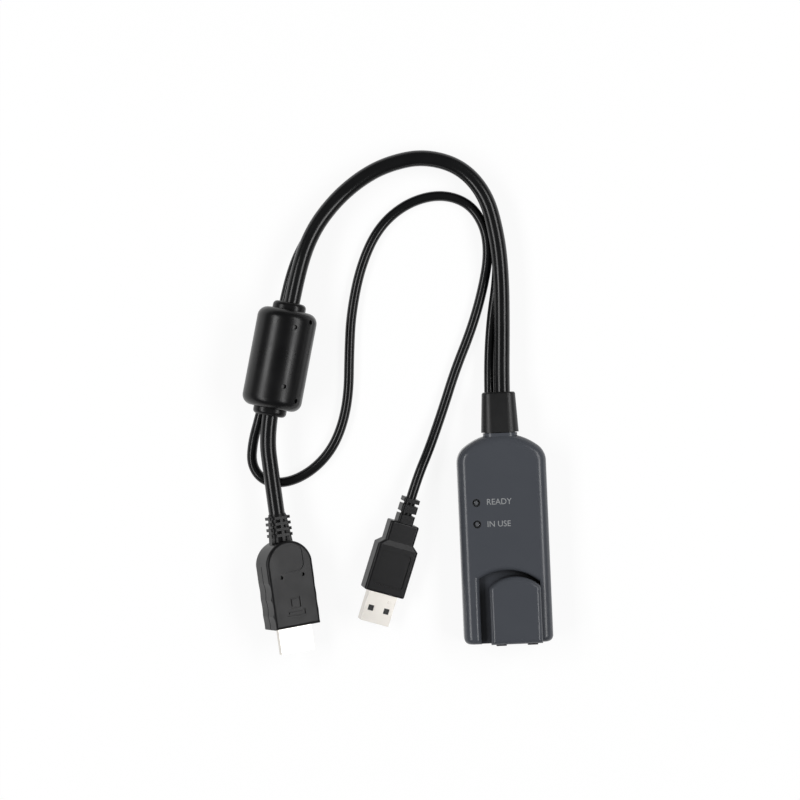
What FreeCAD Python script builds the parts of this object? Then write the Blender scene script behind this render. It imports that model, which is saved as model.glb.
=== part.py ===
import FreeCAD, Part
import math
import os
import re
import Sketcher

# Network-to-video dongle with two captive cables. Millimetres and degrees.
# X to the right, Y toward the cable end, Z up. The origin is the bottom centre of the housing,
# its boot and its socket: the cables, the plugs and the ferrite lie on the same flat surface.

V = FreeCAD.Vector

SIZES = [
    ("body_width", 35.4, "housing, side to side"),
    ("body_length", 83.3, "housing, front face to arch crest"),
    ("body_height", 15.0, "flat top above the underside"),
    ("parting_height", 7.5, "height of the seam between the shells"),
    ("wall", 1.8, "shell thickness"),
    ("base_wall", 2.0, "floor thickness"),
    ("arch_rise", 11.4, "arch crest behind the ends of the straight sides"),
    ("arch_corner", 8.0, "radius where the sides turn into the arch"),
    ("edge_round", 4.2, "rounding of the upper edge"),
    ("base_round", 2.2, "rounding of the lower edge"),
    ("front_round", 2.4, "rounding round the front face"),
    ("seam_chamfer", 0.25, "chamfer on each side of the seam"),
    ("hood_width", 20.4, "hood, side to side"),
    ("hood_side", 4.5, "hood's right side inside the housing's"),
    ("hood_length", 26.7, "hood, front face to crest"),
    ("hood_radius", 14.5, "hood's rear arc"),
    ("hood_height", 19.0, "hood's top above the underside"),
    ("hood_round", 2.0, "rounding of the hood's upper edge"),
    ("hood_corner", 2.1, "rounding of the hood's rear corners"),
    ("channel_side", 6.85, "sunk channel's left side inside the housing's"),
    ("channel_rear", 2.2, "sunk channel's width behind the crest"),
    ("channel_radius", 18.8, "channel's rear arc"),
    ("channel_shift", 3.6, "channel arc's centre to the left of the hood's middle"),
    ("channel_floor", 10.8, "channel floor above the underside"),
    ("channel_round", 2.2, "rounding of the channel's upper edge"),
    ("lamp_side", 6.9, "light pipes inside the housing's left side"),
    ("lamp_rear", 15.65, "first light pipe in front of the arch's ends"),
    ("lamp_pitch", 8.5, "between the light pipes"),
    ("lamp_hole", 3.2, "holes over the light pipes"),
    ("pipe_width", 2.6, "light pipe diameter"),
    ("pipe_sink", 1.0, "light pipe's top under the flat top"),
    ("collar_width", 4.0, "light pipe's collar diameter"),
    ("collar_depth", 1.2, "light pipe's collar height"),
    ("board_side", 0.6, "circuit board's sides inside the housing's walls"),
    ("board_front", 0.35, "board's front edge behind the front wall"),
    ("board_rear", 2.15, "board's rear edge in front of the arch's ends"),
    ("board_height", 3.8, "board's underside above the housing's"),
    ("board_depth", 1.6, "board thickness"),
    ("board_hole", 3.0, "holes for the screws in the board"),
    ("boss_side", 5.5, "screws inside the housing's sides"),
    ("boss_front", 33.55, "front screws behind the front face"),
    ("boss_rear", 8.15, "rear screws in front of the arch's ends"),
    ("boss_lower", 6.0, "lower boss diameter"),
    ("boss_upper", 5.6, "upper boss diameter"),
    ("screw_width", 2.6, "screw thread diameter"),
    ("screw_hole", 2.9, "clearance hole for the thread"),
    ("screw_head", 4.8, "screw head diameter"),
    ("screw_head_depth", 1.6, "screw head thickness"),
    ("screw_length", 9.8, "thread under the head"),
    ("counterbore", 5.2, "counterbore diameter"),
    ("counterbore_depth", 1.8, "counterbore depth"),
    ("pilot_depth", 6.6, "pilot hole's depth in the upper boss"),
    ("cross_width", 0.8, "screw head's cross recess, slot width"),
    ("cross_length", 2.8, "screw head's cross recess, across"),
    ("jack_width", 16.4, "socket body, across"),
    ("jack_length", 21.4, "socket body, along"),
    ("jack_height", 11.6, "socket body, above the board"),
    ("jack_stand_out", 0.5, "socket's face proud of the housing's front"),
    ("jack_clearance", 0.2, "housing opening round the socket"),
    ("port_width", 11.8, "socket opening, across"),
    ("port_height", 6.8, "socket opening, tall"),
    ("port_sill", 1.8, "socket opening above the socket's base"),
    ("port_depth", 13.5, "socket opening, deep"),
    ("latch_width", 6.2, "latch channel, across"),
    ("latch_height", 2.6, "latch channel over the opening"),
    ("notch_width", 8.4, "notch in the socket's upper front edge"),
    ("notch_depth", 0.8, "notch behind the socket's face"),
    ("contact_pitch", 1.02, "socket contacts, spacing"),
    ("contact_width", 0.45, "socket contacts, across"),
    ("contact_thick", 0.3, "socket contacts, thickness"),
    ("boot_length", 16.0, "boot, base to tip"),
    ("boot_width", 14.9, "boot's base, across"),
    ("boot_depth", 12.4, "boot's base, tall"),
    ("boot_taper", 3.1, "boot's sides, degrees inward to the tip"),
    ("boot_corner", 4.5, "boot's corner radius"),
    ("boot_tip_round", 0.9, "rounding round the boot's tip"),
    ("neck_gap", 0.5, "neck showing between housing and boot"),
    ("neck_width", 12.2, "boot's neck, across"),
    ("neck_depth", 9.8, "boot's neck, tall"),
    ("neck_corner", 3.6, "boot's neck, corner radius"),
    ("neck_clearance", 0.15, "housing opening round the neck"),
    ("spout_width", 13.6, "housing's collar round the neck, across"),
    ("spout_depth", 12.2, "housing's collar round the neck, tall"),
    ("spout_corner", 4.2, "housing's collar, corner radius"),
    ("spout_gap", 0.3, "housing's collar in front of the boot"),
    ("spout_root", 1.5, "housing's collar, in the arch's wall"),
    ("neck_reach", 3.95, "neck in front of the boot's base"),
    ("flange_width", 15.0, "boot's inner flange, across"),
    ("flange_depth", 11.0, "boot's inner flange, tall"),
    ("flange_thick", 2.0, "boot's inner flange, thick"),
    ("video_cord", 6.4, "video cable diameter"),
    ("data_cord", 4.0, "data cable diameter"),
    ("cord_clearance", 0.1, "bore round a cable, on the radius"),
    ("capacitor_gap", 1.3, "ceiling above the capacitors"),
    ("sleeve_width", 23.8, "ferrite sleeve diameter"),
    ("sleeve_length", 39.6, "ferrite sleeve length without its collars"),
    ("sleeve_round", 4.0, "rounding of the sleeve's ends"),
    ("collar_reach", 3.0, "sleeve's end collars, along"),
    ("collar_span", 13.2, "sleeve's end collars, across"),
    ("collar_corner", 5.5, "sleeve's end collars, corner radius"),
    ("collar_round", 1.7, "rounding of the collars' ends"),
    ("sleeve_across", -86.4, "sleeve's middle, X"),
    ("sleeve_along", 66.85, "sleeve's middle, Y"),
    ("sleeve_up", 11.95, "sleeve's axis above the surface"),
    ("sleeve_turn", -13.1, "sleeve's axis turned from Y"),
    ("core_outer", 19.5, "ferrite core, outer diameter"),
    ("core_inner", 13.0, "ferrite core, bore"),
    ("core_length", 33.0, "ferrite core length"),
    ("pin_width", 1.9, "round moulding marks, diameter"),
    ("pin_depth", 1.1, "round moulding marks, depth"),
    ("video_roll", 24.5, "video plug's roll about its axis"),
    ("video_seat", 2.4, "cable's end inside the video plug"),
    ("video_relief", 10.8, "video plug's ribbed strain relief"),
    ("video_grip", 34.3, "video plug's grip, along"),
    ("video_width", 19.5, "video plug's grip, across"),
    ("video_depth", 13.2, "video plug's grip, thick"),
    ("video_rise", 9.0, "video grip's arched end"),
    ("video_corner", 6.5, "video grip, radius where its arch begins"),
    ("video_round", 1.2, "video grip, edge rounding"),
    ("video_rib", 1.1, "video relief, rib thickness"),
    ("video_rib_pitch", 2.3, "video relief, rib spacing"),
    ("video_rib_width", 8.7, "video relief, first rib across"),
    ("video_rib_growth", 0.12, "video relief, each rib wider than the last"),
    ("video_rib_depth", 8.0, "video relief, rib thickness in height"),
    ("video_core_width", 7.0, "video relief, core diameter"),
    ("video_web_width", 6.6, "video relief, side webs across at the entry"),
    ("video_web_growth", 2.6, "video relief, side webs wider at the grip"),
    ("video_web_depth", 3.2, "video relief, side webs in height"),
    ("scallop_pitch", 6.7, "video grip, finger scallops' spacing"),
    ("scallop_depth", 0.4, "video grip, finger scallops' depth"),
    ("grip_seam", 0.5, "video grip, groove along its sides"),
    ("sign_depth", 0.45, "video grip, sunk screen sign"),
    ("sign_line", 0.75, "screen sign, width of its lines"),
    ("video_shell_width", 13.9, "video shell, across"),
    ("video_shell_depth", 4.45, "video shell, tall"),
    ("video_shell_reach", 10.3, "video shell, showing"),
    ("video_shell_inside", 6.0, "video shell, in the grip"),
    ("video_can_length", 15.0, "video plug's inner can, along"),
    ("panel_depth", 0.35, "grips' sunk panels, depth"),
    ("data_roll", 16.0, "data plug's roll about its axis"),
    ("data_seat", 2.6, "cable's end inside the data plug"),
    ("data_relief", 10.3, "data plug's strain relief"),
    ("data_relief_width", 6.6, "data plug's strain relief, across"),
    ("data_core_width", 4.6, "data relief, core diameter"),
    ("data_notch", 1.05, "data relief, notch length"),
    ("data_notch_first", 1.7, "data relief, first notch from the entry"),
    ("data_notch_pitch", 4.1, "data relief, notch spacing"),
    ("data_block", 7.9, "data plug's narrow block, along"),
    ("data_block_width", 12.2, "data plug's narrow block, across"),
    ("data_block_depth", 7.2, "data plug's narrow block, thick"),
    ("data_shoulder", 2.1, "data plug's shoulder, along"),
    ("data_grip", 19.25, "data plug's wide block, along"),
    ("data_width", 17.0, "data plug's wide block, across"),
    ("data_depth", 8.0, "data plug's wide block, thick"),
    ("data_corner", 1.2, "data plug's corner radius"),
    ("data_shell_width", 12.0, "data shell, across"),
    ("data_shell_depth", 4.5, "data shell, tall"),
    ("data_shell_reach", 12.4, "data shell, showing"),
    ("data_shell_inside", 6.5, "data shell, in the grip"),
    ("data_can_length", 12.0, "data plug's inner can, along"),
    ("data_window", 2.3, "data shell's square windows"),
    ("data_window_across", 3.3, "windows each side of the middle"),
    ("data_window_back", 6.7, "windows in front of the grip"),
    ("metal", 0.3, "sheet metal thickness"),
]

# Cable centre lines: straight runs that tangent arcs join. Both leave the boot, turn back to the
# left side by side and go through the ferrite. The data cable then folds under it and loops on.
VIDEO_ROUTE = [
    (1.3, 27, 8.2), (1.3, 51, 8.1), (2.6, 76, 7.6), (3.2, 97, 7.45), (2.1, 113, 7.35),
    (-1.6, 129.2, 7.35), (-11.1, 140.8, 7.35), (-25.7, 145.5, 7.35), (-39.7, 143.2, 7.35),
    (-51, 138, 7.35), (-62.4, 128.9, 7.6), (-71.9, 116.6, 9.4), (-78, 100.5, 12.2),
    (-85.6, 66.8, 13.4), (-93, 38, 12.1), (-91.6, 20.3, 10.75), (-89.9, 3, 10.6),
]
DATA_ROUTE = [
    (-3.8, 27, 6.7), (-3.8, 51, 5.8), (-2.1, 75.5, 3.8), (2, 97, 2.1), (2.3, 113, 2.05),
    (-1.6, 129.2, 2.05), (-11.1, 140.8, 2.05), (-25.7, 145.5, 2.05), (-39.7, 143.2, 2.05),
    (-51, 138, 2.05), (-62.7, 128.7, 2.15), (-73.4, 116.2, 4.2), (-81.2, 101, 7.8),
    (-88.9, 67.4, 9.2), (-95.1, 45.3, 8.5), (-98.9, 34.5, 4.6), (-100.1, 24.9, 2.15),
    (-95.2, 18, 2.05), (-85.8, 17.2, 2.05), (-76.1, 21.4, 2.05), (-68, 29.1, 2.05),
    (-62.8, 39.3, 2.05), (-59.8, 52, 2.05), (-58.9, 68, 2.05), (-57.5, 84, 2.05),
    (-52.9, 102.9, 2.05), (-45.3, 118, 2.05), (-33.9, 127.3, 2.05), (-20.4, 130.7, 2.05),
    (-8.8, 127, 2.05), (-2.5, 117.6, 2.05), (-1.2, 105.8, 2.05), (-4.3, 91.2, 2.05),
    (-9.5, 75.6, 2.05), (-16.6, 59.8, 2.05), (-22.2, 44.2, 2.5), (-28.3, 28.8, 5.0),
    (-33.7, 17.3, 7.2), (-37.4, 6.8, 6.93),
]

doc = FreeCAD.newDocument("dongle")
sheet = doc.addObject("Spreadsheet::Sheet", "Sizes")
for row, (name, value, note) in enumerate(SIZES, start=1):
    sheet.set(f"A{row}", note)
    sheet.set(f"B{row}", str(value))
    sheet.setAlias(f"B{row}", name)
doc.recompute()

VALUES = {name: value for name, value, note in SIZES}
NODES = []


# ---- rules: text such as "body_width / 2 - wall", bound to the sheet -------------------------

def with_names(rule, written):
    """The rule with each size's name replaced by what written makes of it."""
    return re.sub(r"[a-z]\w+", lambda m: written(m[0]) if m[0] in VALUES else m[0], str(rule))


def formula(rule):
    """The rule as an expression on the sheet."""
    return with_names(rule, lambda name: f"Sizes.{name}")


def number(rule):
    """The rule's value."""
    return FreeCAD.Units.Quantity(with_names(rule, lambda name: f"({VALUES[name]})")).Value


def bind(thing, **rules):
    """Binds properties to rules; a double underscore stands for a dot."""
    for path, rule in rules.items():
        thing.setExpression(path.replace("__", "."), formula(rule))


# ---- sketches --------------------------------------------------------------------------------

def body(label):
    return doc.addObject("PartDesign::Body", label)


def sketch(owner, name, height="0", role="XY_Plane"):
    """A sketch on one of the body's own planes, moved along the plane's normal."""
    plane = [feature for feature in owner.Origin.OriginFeatures if feature.Role == role][0]
    made = owner.newObject("Sketcher::SketchObject", name)
    made.AttachmentSupport = [(plane, "")]
    made.MapMode = "FlatFace"
    bind(made, AttachmentOffset__Base__z=height)
    return made


def across(owner, name, along):
    """A sketch facing the front at a place along Y; its second axis is Z."""
    return sketch(owner, name, f"-({along})", "XZ_Plane")


def driven(drawing, kind, where, rule):
    """A dimension bound to a rule."""
    index = drawing.addConstraint(Sketcher.Constraint(kind, *where, number(rule)))
    drawing.setExpression(f"Constraints[{index}]", formula(rule))


def fix(drawing, edge, point, x, y):
    """Holds an edge's point at its two distances from the sketch's origin."""
    driven(drawing, "DistanceX", (-1, 1, edge, point), x)
    driven(drawing, "DistanceY", (-1, 1, edge, point), y)


def join(drawing, kind, pairs):
    for one, other in pairs:
        drawing.addConstraint(Sketcher.Constraint(kind, one, 2, other, 1))


def segment(drawing, start, end):
    return drawing.addGeometry(Part.LineSegment(V(*start, 0), V(*end, 0)))


def arc(drawing, centre, radius, start, end):
    circle_of_arc = Part.Circle(V(*centre, 0), V(0, 0, 1), radius)
    return drawing.addGeometry(Part.ArcOfCircle(circle_of_arc, start, end))


def circle(drawing, x, y, diameter):
    centre = V(number(x), number(y), 0)
    made = drawing.addGeometry(Part.Circle(centre, V(0, 0, 1), number(diameter) / 2))
    fix(drawing, made, 3, x, y)
    driven(drawing, "Diameter", (made,), diameter)
    return drawing


def polygon(drawing, corners):
    places = [(number(x), number(y)) for x, y in corners]
    edges = [segment(drawing, a, b) for a, b in zip(places, places[1:] + places[:1])]
    join(drawing, "Coincident", zip(edges, edges[1:] + edges[:1]))
    for edge, (x, y) in zip(edges, corners):
        fix(drawing, edge, 1, x, y)
    return drawing


def rectangle(drawing, x0, x1, y0, y1):
    return polygon(drawing, [(x0, y0), (x1, y0), (x1, y1), (x0, y1)])


def rounded(drawing, x0, x1, y0, y1, radius):
    """A rectangle with round corners."""
    r = number(radius)
    left, right, low, high = (number(rule) for rule in (x0, x1, y0, y1))
    centres = [(f"{x1} - ({radius})", f"{y0} + {radius}"), (f"{x1} - ({radius})", f"{y1} - ({radius})"),
               (f"{x0} + {radius}", f"{y1} - ({radius})"), (f"{x0} + {radius}", f"{y0} + {radius}")]
    sides = [((left + r, low), (right - r, low)), ((right, low + r), (right, high - r)),
             ((right - r, high), (left + r, high)), ((left, high - r), (left, low + r))]
    edges = []
    for quarter, (side, (x, y)) in enumerate(zip(sides, centres)):
        edges.append(segment(drawing, *side))
        start = (quarter - 1) * math.pi / 2
        edges.append(arc(drawing, (number(x), number(y)), r, start, start + math.pi / 2))
        fix(drawing, edges[-1], 3, x, y)
        driven(drawing, "Radius", (edges[-1],), radius)
    join(drawing, "Tangent", zip(edges, edges[1:] + edges[:1]))
    return drawing


def arched(drawing, half, front, spring, corner, rise):
    """A straight front and sides, closed at the back by a low arch that a corner arc meets on
    each side. The crest's radius follows from tangency, so equal insets stay concentric."""
    reach = f"({half} - ({corner}))"
    crest = f"({reach}^2 + ({rise})^2 - ({corner})^2) / (2 * ({rise} - ({corner})))"
    h, f, s, c, k, g = (number(rule) for rule in (half, front, spring, corner, crest, reach))
    middle = s + number(rise) - k
    turn = math.atan2(s - middle, g)
    front_edge = segment(drawing, (-h, f), (h, f))
    right = segment(drawing, (h, f), (h, s))
    right_arc = arc(drawing, (g, s), c, 0, turn)
    crest_arc = arc(drawing, (0, middle), k, turn, math.pi - turn)
    left_arc = arc(drawing, (-g, s), c, math.pi - turn, math.pi)
    left = segment(drawing, (-h, s), (-h, f))
    join(drawing, "Coincident", [(front_edge, right), (left, front_edge)])
    chain = [right, right_arc, crest_arc, left_arc, left]
    join(drawing, "Tangent", zip(chain, chain[1:]))
    fix(drawing, front_edge, 1, f"-({half})", front)
    fix(drawing, front_edge, 2, half, front)
    fix(drawing, right_arc, 3, reach, spring)
    fix(drawing, left_arc, 3, f"-{reach}", spring)
    for edge, radius in ((right_arc, corner), (left_arc, corner), (crest_arc, crest)):
        driven(drawing, "Radius", (edge,), radius)
    return drawing


def bowed(drawing, left, right, front, x, y, radius):
    """A straight front and sides, closed at the back by one arc about (x, y)."""
    l, r, f, cx, cy, k = (number(rule) for rule in (left, right, front, x, y, radius))
    far = cy + math.sqrt(k * k - (r - cx) ** 2)
    near = cy + math.sqrt(k * k - (l - cx) ** 2)
    edges = [
        segment(drawing, (l, f), (r, f)),
        segment(drawing, (r, f), (r, far)),
        arc(drawing, (cx, cy), k, math.atan2(far - cy, r - cx), math.atan2(near - cy, l - cx)),
        segment(drawing, (l, near), (l, f)),
    ]
    join(drawing, "Coincident", zip(edges, edges[1:] + edges[:1]))
    fix(drawing, edges[0], 1, left, front)
    fix(drawing, edges[0], 2, right, front)
    for side in (edges[1], edges[3]):
        drawing.addConstraint(Sketcher.Constraint("Vertical", side))
    fix(drawing, edges[2], 3, x, y)
    driven(drawing, "Radius", (edges[2],), radius)
    return drawing


# ---- features --------------------------------------------------------------------------------

def extrude(kind, owner, profile, length, back):
    """Adds the feature and makes sure that it changed the solid the way it should."""
    before = owner.Shape.Volume if owner.Tip else 0.0
    made = owner.newObject(f"PartDesign::{kind}", f"{profile.Name}_{kind.lower()}")
    made.Profile = profile
    made.Reversed = back
    bind(made, Length=length)
    doc.recompute()
    change = owner.Shape.Volume - before
    if (change if kind == "Pad" else -change) < 1e-3 or not owner.Shape.isValid():
        raise RuntimeError(f"{made.Name} changed the volume by {change:.4f}")


def pad(owner, profile, length, back=False):
    """Adds along the sketch's normal, or against it."""
    extrude("Pad", owner, profile, length, back)


def pocket(owner, profile, length, back=False):
    """Cuts against the sketch's normal, or along it."""
    extrude("Pocket", owner, profile, length, back)


def soften(owner, kind, amount, chosen):
    """Rounds or chamfers the edges whose bounds are chosen."""
    base = owner.Tip
    edges = [f"Edge{i}" for i, edge in enumerate(base.Shape.Edges, start=1) if chosen(edge.BoundBox)]
    if not edges:
        raise RuntimeError(f"{owner.Name} has no such edge")
    made = owner.newObject(f"PartDesign::{kind}", f"{owner.Name}_{kind.lower()}")
    made.Base = (base, edges)
    bind(made, **{"Radius" if kind == "Fillet" else "Size": amount})
    doc.recompute()
    if not owner.Shape.isValid():
        raise RuntimeError(f"{made.Name} isn't valid")


def near(value, target):
    return abs(value - target) < 0.02


def at_height(box, rule):
    return near(box.ZMin, number(rule)) and near(box.ZMax, number(rule))


def at_place(box, rule):
    return near(box.YMin, number(rule)) and near(box.YMax, number(rule))


def box(name, x0, x1, y0, y1, z0, z1):
    made = doc.addObject("Part::Box", name)
    bind(made, Length=f"{x1} - ({x0})", Width=f"{y1} - ({y0})", Height=f"{z1} - ({z0})")
    bind(made, Placement__Base__x=x0, Placement__Base__y=y0, Placement__Base__z=z0)
    return made


def cylinder(name, x, y, z, diameter, height):
    made = doc.addObject("Part::Cylinder", name)
    bind(made, Radius=f"({diameter}) / 2", Height=height)
    bind(made, Placement__Base__x=x, Placement__Base__y=y, Placement__Base__z=z)
    return made


def lying(name, x, z, front, diameter, length):
    """A cylinder along Y, from its front end back."""
    made = doc.addObject("Part::Cylinder", name)
    made.Placement.Rotation = FreeCAD.Rotation(V(1, 0, 0), -90)
    bind(made, Radius=f"({diameter}) / 2", Height=length)
    bind(made, Placement__Base__x=x, Placement__Base__y=front, Placement__Base__z=z)
    return made


def fused(name, pieces):
    made = doc.addObject("Part::MultiFuse", name)
    made.Shapes = pieces
    return made


def grouped(name, pieces):
    made = doc.addObject("Part::Compound", name)
    made.Links = pieces
    return made


def cut(name, base, tools):
    made = doc.addObject("Part::Cut", name)
    made.Base = base
    made.Tool = tools[0] if len(tools) == 1 else fused(f"{name}_tools", tools)
    return made


def keep(node, thing, placement=None):
    """Lists a sub-part under its node name, where it lies."""
    thing.Label = node
    if placement:
        thing.Placement = placement
    doc.recompute()
    NODES.append((node, thing))
    return thing


# ---- cables ----------------------------------------------------------------------------------

def centre_line(points):
    """The route's runs joined by tangent arcs, each as large as its two runs allow."""
    places = [V(*point) for point in points]
    edges, radii, at = [], [], places[0]
    for before, corner, after in zip(places, places[1:], places[2:]):
        arriving = (corner - before).normalize()
        leaving = (after - corner).normalize()
        turn = arriving.getAngle(leaving)
        trim = 0.45 * min((corner - before).Length, (after - corner).Length)
        radius = trim / math.tan(turn / 2)
        start, end = corner - arriving * trim, corner + leaving * trim
        inward = (leaving - arriving).normalize()
        middle = corner + inward * (math.hypot(trim, radius) - radius)
        edges.append(Part.LineSegment(at, start).toShape())
        edges.append(Part.Arc(start, middle, end).toShape())
        radii.append(radius)
        at = end
    edges.append(Part.LineSegment(at, places[-1]).toShape())
    return Part.Wire(edges), radii


def tube(points, diameter):
    line, radii = centre_line(points)
    start = V(*points[0])
    ring = Part.Wire(Part.makeCircle(diameter / 2, start, V(*points[1]) - start))
    return line.makePipeShell([ring], True, False), line.Length, radii


def shaped(name, shape, placement=None):
    made = doc.addObject("Part::Feature", name)
    made.Shape = shape
    if placement:
        made.Placement = placement
    return made


def cable(node, points, diameter_name):
    diameter = number(diameter_name)
    shape, length, radii = tube(points, diameter)
    if abs(shape.Volume / (math.pi * diameter ** 2 / 4 * length) - 1) > 0.01:
        raise RuntimeError(f"{node} has the wrong volume")
    print(f"{node}: {length:.1f} long, radii", " ".join(f"{radius:.0f}" for radius in radii))
    keep(node, shaped(node, shape))


def bores(placement=None):
    """The two cables' routes, fattened by the clearance, to cut what they pass through."""
    fat = [(VIDEO_ROUTE, "video_cord + 2 * cord_clearance"), (DATA_ROUTE, "data_cord + 2 * cord_clearance")]
    return [shaped("bore", tube(points, number(rule))[0], placement) for points, rule in fat]


def plug_placement(points, seat, roll):
    """Where a plug lies: on its cable's last run, which ends the seat's depth inside it. A plug is
    modelled with its entry at its origin and its tip toward -Y."""
    end = V(*points[-1])
    ahead = (end - V(*points[-2])).normalize()
    yaw = FreeCAD.Rotation(V(0, 0, 1), math.degrees(math.atan2(ahead.x, -ahead.y)))
    pitch = FreeCAD.Rotation(V(1, 0, 0), -math.degrees(math.asin(ahead.z)))
    turn = yaw * pitch * FreeCAD.Rotation(V(0, 1, 0), number(roll))
    return FreeCAD.Placement(end - ahead * number(seat), turn)


# ---- places that several pieces share --------------------------------------------------------

FRONT = "((jack_stand_out - body_length - neck_gap - boot_length) / 2)"
BACK = f"({FRONT} + body_length)"
SPRING = f"({BACK} - arch_rise)"
HALF = "(body_width / 2)"
CEILING = "(body_height - wall)"
BOARD_TOP = "(board_height + board_depth)"
BOARD_HALF = f"({HALF} - wall - board_side)"
HOOD_MIDDLE = f"({HALF} - hood_side - hood_width / 2)"
HOOD_LEFT = f"({HOOD_MIDDLE} - hood_width / 2)"
HOOD_RIGHT = f"({HOOD_MIDDLE} + hood_width / 2)"
HOOD_CENTRE = f"({FRONT} + hood_length - hood_radius)"
HOOD_CEILING = f"({BOARD_TOP} + jack_height + jack_clearance)"
CHANNEL_LEFT = f"(channel_side - {HALF})"
CHANNEL_MIDDLE = f"({HOOD_MIDDLE} - channel_shift)"
CHANNEL_CENTRE = f"({FRONT} + hood_length + channel_rear - channel_radius)"
JACK_FRONT = f"({FRONT} - jack_stand_out)"
JACK_LEFT = f"({HOOD_MIDDLE} - jack_width / 2)"
JACK_RIGHT = f"({HOOD_MIDDLE} + jack_width / 2)"
BOOT_FRONT = f"({BACK} + neck_gap)"
BOSS = f"({HALF} - boss_side)"
SCREWS = [(f"{side}{BOSS}", along) for along in (f"({FRONT} + boss_front)", f"({SPRING} - boss_rear)")
          for side in ("-", "")]
LAMP_ACROSS = f"(lamp_side - {HALF})"
LAMP_FIRST = f"({SPRING} - lamp_rear)"
LAMPS = [("active", LAMP_FIRST), ("power", f"({LAMP_FIRST} - lamp_pitch)")]


def outline(owner, name, height, inset="0"):
    """The housing's outline, inset by a wall."""
    return arched(sketch(owner, name, height), f"{HALF} - {inset}", f"{FRONT} + {inset}", SPRING,
                  f"arch_corner - {inset}", f"arch_rise - {inset}")


def spout(owner, low, high, up):
    """A shell's half of the collar round the boot's neck; what passes the seam is cut off."""
    pad(owner, rounded(across(owner, "spout", f"{BOOT_FRONT} - spout_gap"), "-spout_width / 2",
                       "spout_width / 2", low, high, "spout_corner"), "neck_gap - spout_gap + spout_root")
    past_seam = rectangle(sketch(owner, "spout_seam", "parting_height"), "-spout_width", "spout_width",
                          f"{BACK} - 2 * spout_root", f"{BOOT_FRONT} + 1")
    pocket(owner, past_seam, "spout_corner + 1", up)


def front_chain(box_of_edge):
    """Edges round the front face, except the seam."""
    return at_place(box_of_edge, FRONT) and not at_height(box_of_edge, "parting_height")


# ---- housing ---------------------------------------------------------------------------------

neck_tool = body("neck_opening")
pad(neck_tool, rounded(across(neck_tool, "neck_hole", f"{BACK} + 1"),
                       "-neck_width / 2 - neck_clearance", "neck_width / 2 + neck_clearance",
                       "parting_height - neck_depth / 2 - neck_clearance",
                       "parting_height + neck_depth / 2 + neck_clearance", "neck_corner"), "wall * 4")

upper = body("upper")
pad(upper, outline(upper, "upper_outline", "parting_height"), "body_height - parting_height")
soften(upper, "Fillet", "edge_round", lambda b: at_height(b, "body_height") and not at_place(b, FRONT))
soften(upper, "Fillet", "front_round", front_chain)
soften(upper, "Chamfer", "seam_chamfer", lambda b: at_height(b, "parting_height"))
pocket(upper, outline(upper, "upper_cavity", "parting_height", "wall"), f"{CEILING} - parting_height", True)
soften(upper, "Fillet", "edge_round - wall", lambda b: at_height(b, CEILING))
spout(upper, "parting_height - spout_corner", "parting_height + spout_depth / 2", False)
pad(upper, bowed(sketch(upper, "channel_walls", "channel_floor - wall"), f"{CHANNEL_LEFT} - wall",
                 f"{HOOD_RIGHT} + wall", f"{FRONT} + wall / 2", CHANNEL_MIDDLE, CHANNEL_CENTRE,
                 "channel_radius + wall"), f"{CEILING} - channel_floor + wall")
for name, along in LAMPS:
    pocket(upper, circle(sketch(upper, f"{name}_hole", "body_height + 1"), LAMP_ACROSS, along,
                         "lamp_hole"), "wall + 2")
for x, y in SCREWS:
    pad(upper, circle(sketch(upper, "upper_boss", BOARD_TOP), x, y, "boss_upper"),
        f"{CEILING} + wall / 4 - {BOARD_TOP}")
    pocket(upper, circle(sketch(upper, "pilot", BOARD_TOP), x, y, "screw_width"), "pilot_depth", True)

# The channel's void: its column, and a wide slab over the flat top that the column flares out to.
channel = body("channel_void")
pad(channel, bowed(sketch(channel, "channel_column", "channel_floor"), CHANNEL_LEFT, HOOD_RIGHT,
                   f"{FRONT} - 4 * channel_round", CHANNEL_MIDDLE, CHANNEL_CENTRE, "channel_radius"),
    "body_height + 1 - channel_floor")
pad(channel, rectangle(sketch(channel, "channel_slab", "body_height"), "-body_width", "body_width",
                       f"{FRONT} - 8 * channel_round", BACK), "2")
soften(channel, "Fillet", "channel_round", lambda b: at_height(b, "body_height")
       and near(b.XMin, number(CHANNEL_LEFT)) and b.YMax > number(FRONT))

hood = body("hood")
pad(hood, bowed(sketch(hood, "hood_outline", "parting_height"), HOOD_LEFT, HOOD_RIGHT, FRONT, HOOD_MIDDLE,
                HOOD_CENTRE, "hood_radius"), "hood_height - parting_height")
soften(hood, "Fillet", "hood_corner", lambda b: b.ZLength > 1 and b.YMin > number(HOOD_CENTRE)
       and near(b.YMin, b.YMax))
soften(hood, "Fillet", "hood_round", lambda b: at_height(b, "hood_height"))
hollow = body("hood_hollow")
pad(hollow, bowed(sketch(hollow, "hood_cavity", "parting_height - 1"), f"{HOOD_LEFT} + wall",
                  f"{HOOD_RIGHT} - wall", f"{FRONT} + wall", HOOD_MIDDLE, HOOD_CENTRE,
                  "hood_radius - wall"), f"{HOOD_CEILING} - parting_height + 1")
jack_opening = box("jack_opening", f"{JACK_LEFT} - jack_clearance", f"{JACK_RIGHT} + jack_clearance",
                   f"{FRONT} - 1", f"{FRONT} + wall + 1", f"{BOARD_TOP} - jack_clearance", HOOD_CEILING)
hooded = fused("hooded", [cut("channelled", upper, [channel]), hood])
keep("upper_housing", cut("upper_shell", hooded, [hollow, jack_opening, neck_tool]))

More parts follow.
